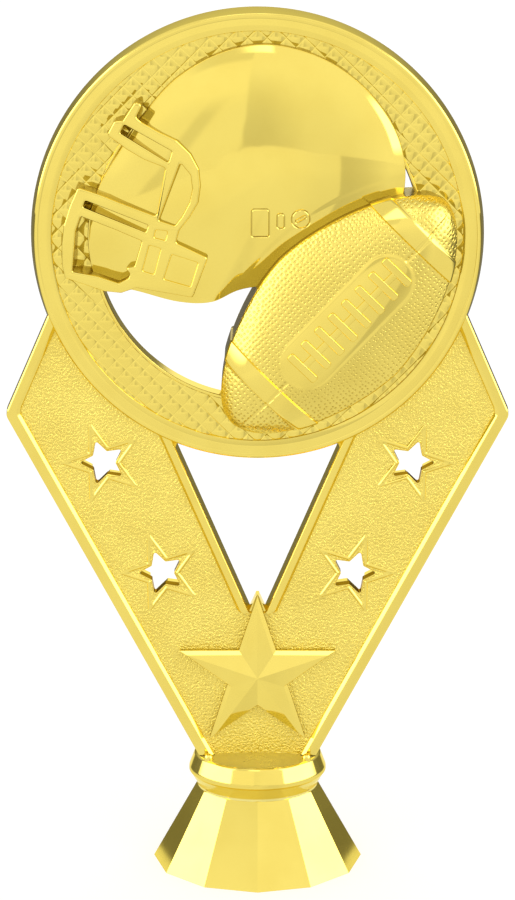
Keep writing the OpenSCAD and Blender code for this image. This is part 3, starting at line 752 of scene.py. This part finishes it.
def face_mask():
    """A flat plate with eased edges, cut through between its bars, with three shallow windows."""
    shape = Shape()
    edge = anticlockwise(MASK_EDGE)
    rows = [shape.level(rounded(inset(edge, grow), 0.5), depth) for grow, depth in MASK_PROFILE]
    # The outer edge wall takes the darker gold of painted shade
    shape.skin(rows[:2], 1)
    shape.skin(rows[1:])
    tops, feet = [], []
    for opening in MASK_HOLES + MASK_WINDOWS:
        loop = anticlockwise(opening)
        window = opening in MASK_WINDOWS
        levels = ((0, MASK_FACE - WINDOW_DEPTH), *MASK_PROFILE[1:]) if window else MASK_PROFILE
        walls = [shape.level(rounded(inset(loop, -grow), 0.3), depth) for grow, depth in levels]
        # The walls of the holes cut through take the darker gold of painted shade
        shape.skin(walls[:2], 0 if window else 1)
        shape.skin(walls[1:])
        tops.append(walls[-1])
        if window:
            shape.cap(walls[0])
        else:
            feet.append(walls[0])
    shape.cap(rows[-1], tops)
    shape.cap(rows[0], feet)
    return piece(shape.data("face_mask_gold", 40), ["face_mask"], [POLISHED, WALL_SHADE])


# ---- Ball --------------------------------------------------------------------------------------------

# How squarely the rear half rounds over, and the front half along its length: 2 is a plain ellipse
BALL_SQUARE, BALL_LONG_SQUARE = 3.2, 5.0
BALL_HIGH = 13.5
# The front is a low crown up to a crisp shoulder, and then a straight wall
CROWN_DROP, CROWN_POWER, SHOULDER, SHOULDER_DROP = 0.25, 2.4, 0.965, 0.045
SHOULDER_STEPS, WALL_STEPS = 9, 14
# Powers that shape the ball's outline along its length and across it
TAPER_POWER, TAPER_ROUND = 1.6, 0.57
# Limit on how far in the rear half may start near the ball's tips
REAR_START = 0.45
LACE_SHIFT = 1.2
LACE_COUNT, LACE_PITCH, LACE_W, LACE_L, LACE_H = 8, 3.24, 1.45, 6.2, 0.5
# The laces are centred this far past the panel's middle, and narrow links lie between them
LACE_OFFSET, LINK_GAP, LINK_HALF_W, LINK_SHARE = 0.5, 0.3, 0.6, 0.75
STRIPES = [(-18.8, -15.7), (17.4, 20.5)]
# A stripe rises from so far outside its edge to so far inside it
STRIPE_RISE, STRIPE_OUT, STRIPE_IN = 0.32, 0.22, 0.03
PANEL_U, PANEL_HALF_L, PANEL_HALF_W, PANEL_RISE = 0.7, 14.2, 4.6, 0.16
SEAM_DEPTH, SEAM_FLOOR, SEAM_HALF_W = 0.2, 0.1, 0.42


def ball_radius(u):
    """Half width of the ball's outline at a place along its axis."""
    return BALL_R * (1 - (min(abs(u), BALL_L) / BALL_L) ** TAPER_POWER) ** TAPER_ROUND


def ball_height(u, front=True):
    """Height of the ball above or below its centre plane at a place along its axis."""
    high, square = (BALL_HIGH, BALL_LONG_SQUARE) if front else (BALL_R, BALL_SQUARE)
    return high * (1 - (min(abs(u), BALL_L) / BALL_L) ** square) ** (1 / square)


def ball_top(u, side):
    """Height of the ball's front above its centre plane."""
    share = min(abs(side) / ball_radius(u), 1)
    turn = max(share - SHOULDER, 0) / (1 - SHOULDER)
    drop = CROWN_DROP * share ** CROWN_POWER + SHOULDER_DROP * (1 - math.sqrt(1 - turn * turn))
    return ball_height(u) * (1 - drop)


def ball_place(u, side, height):
    """From the ball's own frame, with its long axis along u, to where the ball stands."""
    return (BALL_X + u * math.sin(BALL_LEAN) + side * math.cos(BALL_LEAN), BALL_DEPTH + height,
            BALL_Z + u * math.cos(BALL_LEAN) - side * math.sin(BALL_LEAN))


def front_section(u, across=130):
    """Points [side, height] from left to right over the front of the ball, down to the parting plane."""
    wide = ball_radius(u)
    points = [(s, ball_top(u, s)) for s in (wide * SHOULDER * (2 * k / across - 1) for k in range(1, across))]
    side = []
    for k in range(SHOULDER_STEPS + 1):
        s = wide * (SHOULDER + (1 - SHOULDER) * math.sin(math.pi / 2 * k / SHOULDER_STEPS))
        side.append((s, ball_top(u, s)))
    high = side[-1][1]
    side += [(wide, high - (high + BALL_DEPTH) * k / WALL_STEPS) for k in range(1, WALL_STEPS + 1)]
    return [(-s, h) for s, h in side[::-1]] + points + side


def rear_section(u, across=90):
    """The same over the rear of the ball."""
    wide, high = ball_radius(u), ball_height(u, False)
    power = 2 / BALL_SQUARE
    end = math.pi / 2 - math.asin(min(REAR_START, (BALL_DEPTH / high) ** (1 / power)))
    points = []
    for k in range(across + 1):
        a = end * (2 * k / across - 1)
        points.append((wide * math.copysign(abs(math.sin(a)) ** power, a), -high * math.cos(a) ** power))
    return points


def ease(value, low, high):
    """From 0 to 1 with soft ends while the value goes from low to high."""
    t = min(max((value - low) / (high - low), 0), 1)
    return t * t * (3 - 2 * t)


def panel_distance(u, side):
    """Distance outside the edge of the long rounded panel round the laces; negative inside it."""
    reach = PANEL_HALF_L - PANEL_HALF_W
    along = max(abs(u - PANEL_U) - reach, 0)
    return math.hypot(along, side) - PANEL_HALF_W


def ball_lift(u, side):
    """Relief of the stripes, the lace panel and the seam above the plain ball."""
    side -= LACE_SHIFT
    rise = 0.0
    for low, high in STRIPES:
        starts = ease(u, low - STRIPE_OUT, low + STRIPE_IN)
        rise += STRIPE_RISE * starts * (1 - ease(u, high - STRIPE_IN, high + STRIPE_OUT))
    edge = panel_distance(u, side)
    rise += PANEL_RISE * (1 - ease(edge, -0.35, 0.1))
    if edge > 0:
        inside = 1 if abs(u) < BALL_L - 1 else 0
        rise -= SEAM_DEPTH * (1 - ease(abs(side), SEAM_FLOOR, SEAM_HALF_W)) * inside
    return rise


def spaced(places, pitch):
    """Evenly filled steps between fixed places, so that edges fall on rows."""
    rows = []
    for a, b in zip(places, places[1:]):
        count = max(1, round((b - a) / pitch))
        rows += [a + (b - a) * k / count for k in range(count)]
    return rows + [places[-1]]


def ball_rows():
    """Places along the ball's axis, closer together at its ends, with a row on each edge of a stripe."""
    reach = BALL_L - 0.02
    ends = (0, 0.04, 0.12, 0.25, 0.5, 1.2)
    marks = [-reach + near for near in ends]
    for low, high in STRIPES:
        marks += [low - STRIPE_OUT, low - 0.1, low + STRIPE_IN]
        marks += [high - STRIPE_IN, high + 0.1, high + STRIPE_OUT]
    return spaced(marks + [reach - near for near in ends[::-1]], 0.3)


def football_shell(name, node, front):
    """Half of the ball, split at the parting plane, with UVs that follow its long axis in millimetres."""
    shape = Shape()
    layer = shape.mesh.loops.layers.uv.new("UVMap")
    rows, places, sides = [], {}, {}
    for u in ball_rows():
        points = front_section(u) if front else rear_section(u)
        turn = 1 if front else -1
        raised = []
        for k, (side, height) in enumerate(points):
            a, b = points[max(k - 1, 0)], points[min(k + 1, len(points) - 1)]
            out = Vector((a[1] - b[1], b[0] - a[0])).normalized() * turn * ball_lift(u, side)
            raised.append((side + out.x, height + out.y))
        row = shape.loop([ball_place(u, side, height) for side, height in raised])
        middle = len(points) // 2
        way = [0.0]
        for a, b in zip(points, points[1:]):
            way.append(way[-1] + math.dist(a, b))
        for vert, place, (side, height) in zip(row, way, points):
            places[vert] = (u, place - way[middle])
            sides[vert] = side
        rows.append(row)
    columns = len(rows[0]) - 1
    edge = WALL_STEPS if front else 0
    for i in range(len(rows) - 1):
        u = (places[rows[i][0]][0] + places[rows[i + 1][0]][0]) / 2
        smooth = any(low - 0.3 < u < high + 0.3 for low, high in STRIPES)
        for k in range(columns):
            corners = (rows[i][k], rows[i][k + 1], rows[i + 1][k + 1], rows[i + 1][k])
            face = shape.mesh.faces.new(corners)
            side = (sides[corners[0]] + sides[corners[1]]) / 2
            inside = front and panel_distance(u, side - LACE_SHIFT) < 0.15
            # The straight side walls take the darker gold of painted shade
            wall = k < edge or k >= columns - edge
            face.material_index = 2 if wall else 0 if smooth or inside else 1
            for corner in face.loops:
                corner[layer].uv = places[corner.vert]
    for rim in ([row[0] for row in rows] + [row[-1] for row in rows[::-1]], rows[0], rows[-1]):
        shape.face(rim)
    return piece(shape.data(name, 50), [node], [POLISHED, PEBBLED, WALL_SHADE], False)


def wrapped_bar(shape, u, half_u, half_side, rise, corner):
    """A flat bar with a rounded outline and eased edges that hugs the ball's front."""
    outline = [(-half_u, -half_side), (half_u, -half_side), (half_u, half_side), (-half_u, half_side)]
    rows = []
    for grow, up in ((-0.04, -0.25), (0, rise * 0.6), (0.05, rise * 0.9), (0.14, rise)):
        loop = rounded(inset(outline, grow), corner, 5)
        places = [(u + du, LACE_SHIFT + ds) for du, ds in loop]
        rows.append(shape.loop([ball_place(*place, ball_top(*place) + up) for place in places]))
    shape.skin(rows)
    for row in (rows[0], rows[-1]):
        count = len(row)
        for k in range(count // 2 - 1):
            shape.face((row[k], row[k + 1], row[count - k - 2], row[count - k - 1]))


def football_lacing():
    """Cross laces on the panel, with short links between them."""
    shape = Shape()
    first = PANEL_U + LACE_OFFSET - (LACE_COUNT - 1) * LACE_PITCH / 2
    for k in range(LACE_COUNT):
        wrapped_bar(shape, first + k * LACE_PITCH, LACE_W / 2, LACE_L / 2, LACE_H + PANEL_RISE, 0.45)
    for k in range(LACE_COUNT - 1):
        wrapped_bar(shape, first + (k + 0.5) * LACE_PITCH, LACE_PITCH / 2 - LINK_GAP, LINK_HALF_W,
                    LACE_H * LINK_SHARE + PANEL_RISE, 0.15)
    return piece(shape.data("football_lacing_gold", 40), ["football_lacing"], [POLISHED])


# ---- Foot --------------------------------------------------------------------------------------------

def turned_foot(shape, profile, finish=0, steps=120):
    """Turned about the vertical axis, from an open profile of [radius, height]; returns its rows."""
    rows = []
    for r, z in profile:
        row = []
        for k in range(steps):
            a = math.tau * k / steps
            row.append((r * math.sin(a), r * math.cos(a), z))
        rows.append(shape.loop(row))
    shape.skin(rows, finish)
    return rows


def collar():
    """A double cone, whose lower cone, upper cone and crown have a finish each."""
    shape = Shape()
    top = SKIRT_H + COLLAR_H
    side = [(COLLAR_NECK_R, SKIRT_H), (COLLAR_NECK_R, SKIRT_H + 0.35), (COLLAR_R - 0.25, SKIRT_H + 2.55),
            (COLLAR_R, SKIRT_H + 2.85), (COLLAR_R - 0.05, SKIRT_H + 3.5), (COLLAR_TOP_R + 0.15, top - 0.25),
            (COLLAR_TOP_R - 0.2, top)]
    side = softened(side, 0.16)
    split = next(i for i, (_, z) in enumerate(side) if z > SKIRT_H + 2.5)
    rows = turned_foot(shape, side[:split + 1], 2)
    turned_foot(shape, side[split:])
    crown = turned_foot(shape, [(COLLAR_TOP_R - 0.2, top), (7.0, top + 0.33), (0.5, top + 0.68)], 1)
    shape.face(crown[-1], 1)
    shape.face(rows[0])
    return piece(shape.data("collar_gold", 28), ["collar"], [POLISHED, SATIN, NECK])


# ---- Stage, light and camera ---------------------------------------------------------------------------

# Half side of the floor, in metres; the distances on it are in metres too
FLOOR_REACH = 6.0
# Light levels of what the metal mirrors, and the one level that all other light has
BOX_LIGHT, LAMP_LIGHT, BACKDROP_LIGHT, EVEN_LIGHT = 3.5, 2.6, 1.2, 0.95


def white_floor():
    """A floor that the camera sees as white with a soft shadow, and the metal as a table in a room."""
    data = bpy.data.meshes.new("floor")
    reach = FLOOR_REACH
    data.from_pydata([(-reach, -reach, 0), (reach, -reach, 0), (reach, reach, 0), (-reach, reach, 0)], [],
                     [(0, 1, 2, 3)])
    material = bpy.data.materials.new("floor")
    material.use_nodes = True
    g = Graph(material.node_tree)
    rays = g.add("ShaderNodeLightPath").outputs
    place = g.add("ShaderNodeSeparateXYZ", {0: g.add("ShaderNodeTexCoord").outputs["Object"]}).outputs
    # The metal sees a bright table in front, with an edge to the right and a greyer floor past it; a pale
    # strip of floor right behind the object; and a dim room round the rest
    round_deg = g.round_deg(place["X"], place["Y"])
    far = g.span(place["Y"], -1.4, -0.25, 1.06, 0.97)
    table = g.blend(g.span(round_deg, 3.0, 12.0), 0.98, 0.91)
    beyond = g.span(round_deg, 16.0, 42.0, 0.66, 0.95)
    table = g.blend(g.span(round_deg, 15.6, 16.4), table, beyond)
    table = g.math("MULTIPLY", far, table)
    front = g.span(place["Y"], 0.02, 0.12, 1.0, 0.0)
    glossy = rays["Is Glossy Ray"]
    away = g.length(place["X"], place["Y"])
    narrow = g.span(g.math("ABSOLUTE", place["X"]), 0.06, 0.11, 1.0, 0.0)
    pale_back = g.math("MULTIPLY", g.span(away, 0.3, 0.5, 0.85, 0.0), narrow)
    glow = g.math("MULTIPLY", glossy, g.math("MAXIMUM", g.math("MULTIPLY", front, table), pale_back))
    glow = g.math("ADD", glow, g.math("MULTIPLY", rays["Is Camera Ray"], 0.5))
    grey = g.blend(glossy, 0.6, g.blend(front, 0.22, 0.08))
    tone = g.add("ShaderNodeCombineXYZ", {0: grey, 1: grey, 2: grey}).outputs[0]
    matt = g.add("ShaderNodeBsdfDiffuse", {"Color": tone}).outputs[0]
    light = g.add("ShaderNodeEmission", {"Color": (1, 1, 1, 1), "Strength": glow}).outputs[0]
    both = g.add("ShaderNodeAddShader", {0: matt, 1: light}).outputs[0]
    g.add("ShaderNodeOutputMaterial", {"Surface": both})
    data.materials.append(material)
    floor = bpy.data.objects.new("floor", data)
    bpy.context.scene.collection.objects.link(floor)


def studio_world():
    """Studio surroundings: a wall and a lamp in front, bright boxes at both sides, and dim behind."""
    world = bpy.data.worlds.new("studio")
    bpy.context.scene.world = world
    world.use_nodes = True
    g = Graph(world.node_tree)
    way = g.add("ShaderNodeTexCoord").outputs["Generated"]
    parts = g.add("ShaderNodeSeparateXYZ", {0: way}).outputs
    round_deg = g.round_deg(parts["X"], parts["Y"])
    up_deg = g.math("MULTIPLY", g.math("ARCSINE", parts["Z"]), 180 / math.pi)
    off_deg = g.math("ABSOLUTE", round_deg)
    # Ahead a wall that is dark low down in the middle, and lighter higher up and to the right
    near, far = g.span(round_deg, -4.0, 10.0, 0.0, 0.55), g.span(round_deg, 12.0, 42.0, 0.0, 0.42)
    to_right = g.math("ADD", near, far)
    rest = g.math("MULTIPLY", g.math("SUBTRACT", 1.0, to_right), g.span(up_deg, 0.0, 30.0, 1.0, 0.0))
    front = g.blend(rest, 1.16, 0.8)
    # To the left of it a pale wing with a thin darker gap that leans over
    wing = g.math("ADD", g.span(up_deg, 8.0, 18.0, 1.08, 1.2), g.span(up_deg, 31.0, 37.0, 0.0, -0.2))
    gap = g.between(g.math("SUBTRACT", round_deg, g.math("MULTIPLY", up_deg, 0.45)), -21.0, -16.5, 1.2)
    gap = g.math("MULTIPLY", gap, g.span(up_deg, 6.0, 16.0, 0.17, 0.0))
    front = g.blend(g.span(round_deg, -6.6, -5.8, 1.0, 0.0), front, g.math("SUBTRACT", wing, gap))
    lamp = g.math("MULTIPLY", g.between(round_deg, -22.0, 6.0, 2.0), g.between(up_deg, 45.0, 72.0, 2.0))
    front = g.blend(lamp, front, LAMP_LIGHT)
    behind = g.span(up_deg, 4.0, 30.0, 0.24, 0.72)
    # A pale backdrop straight behind, which the lower wall of the ring's opening mirrors
    backdrop = g.math("MULTIPLY", g.span(off_deg, 164.0, 169.0), g.between(up_deg, 7.0, 17.0, 1.5))
    behind = g.blend(backdrop, behind, BACKDROP_LIGHT)
    plain = g.blend(g.span(off_deg, 100.0, 120.0), front, behind)
    box = g.math("MULTIPLY", g.between(off_deg, 46.0, 116.0, 1.5), g.between(up_deg, 5.0, 48.0, 2.5))
    radiance = g.blend(box, plain, BOX_LIGHT)
    # Only mirrored surroundings have these levels; all else gets one even soft light
    rays = g.add("ShaderNodeLightPath").outputs
    strength = g.blend(rays["Is Camera Ray"], g.blend(rays["Is Glossy Ray"], EVEN_LIGHT, radiance), 1.0)
    sky = g.add("ShaderNodeBackground", {"Color": (1, 1, 1, 1), "Strength": strength}).outputs[0]
    g.add("ShaderNodeOutputWorld", {"Surface": sky})


LENS, SENSOR = 108, 36
CAMERA_BACK, CAMERA_UP, CAMERA_DOWN_DEG = 464.5, 175.7, 12.203


def camera():
    """The place the photo was taken from, from a fit to measured points in it."""
    data = bpy.data.cameras.new("camera")
    data.lens = LENS
    data.sensor_width = SENSOR
    eye = bpy.data.objects.new("camera", data)
    eye.location = (0, -CAMERA_BACK * MM, CAMERA_UP * MM)
    eye.rotation_euler = (math.radians(90 - CAMERA_DOWN_DEG), 0, 0)
    bpy.context.scene.collection.objects.link(eye)
    bpy.context.scene.camera = eye


# ---- The scene -----------------------------------------------------------------------------------------

def dress(name, finish):
    """Gives a CAD node that stays in the picture its finished material."""
    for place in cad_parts[name].material_slots:
        place.material = finish


for name in ("ring_rear", "v_frame_rear", "dowels", "collar_pins"):
    dress(name, POLISHED)
dress("hex_nut", ZINC)
dress("skirt", POLISHED)
eased_edges(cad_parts["skirt"], 0.1, 20)

ring_front()
v_frame_front()
star_emblem()
helmet_shell("helmet_front_gold", "helmet_front_shell", RING_FIELD - 0.5, HELMET_BROW,
             RING_FIELD + HELMET_RISE)
helmet_shell("helmet_rear_gold", "helmet_rear_shell", -REAR + 0.3, -REAR - HELMET_REAR_BROW,
             -REAR - HELMET_REAR_RISE)
face_mask()
football_shell("football_front_gold", "football_front_shell", True)
football_shell("football_rear_gold", "football_rear_shell", False)
football_lacing()
collar()

white_floor()
studio_world()
camera()
bpy.context.scene.view_settings.view_transform = "Standard"
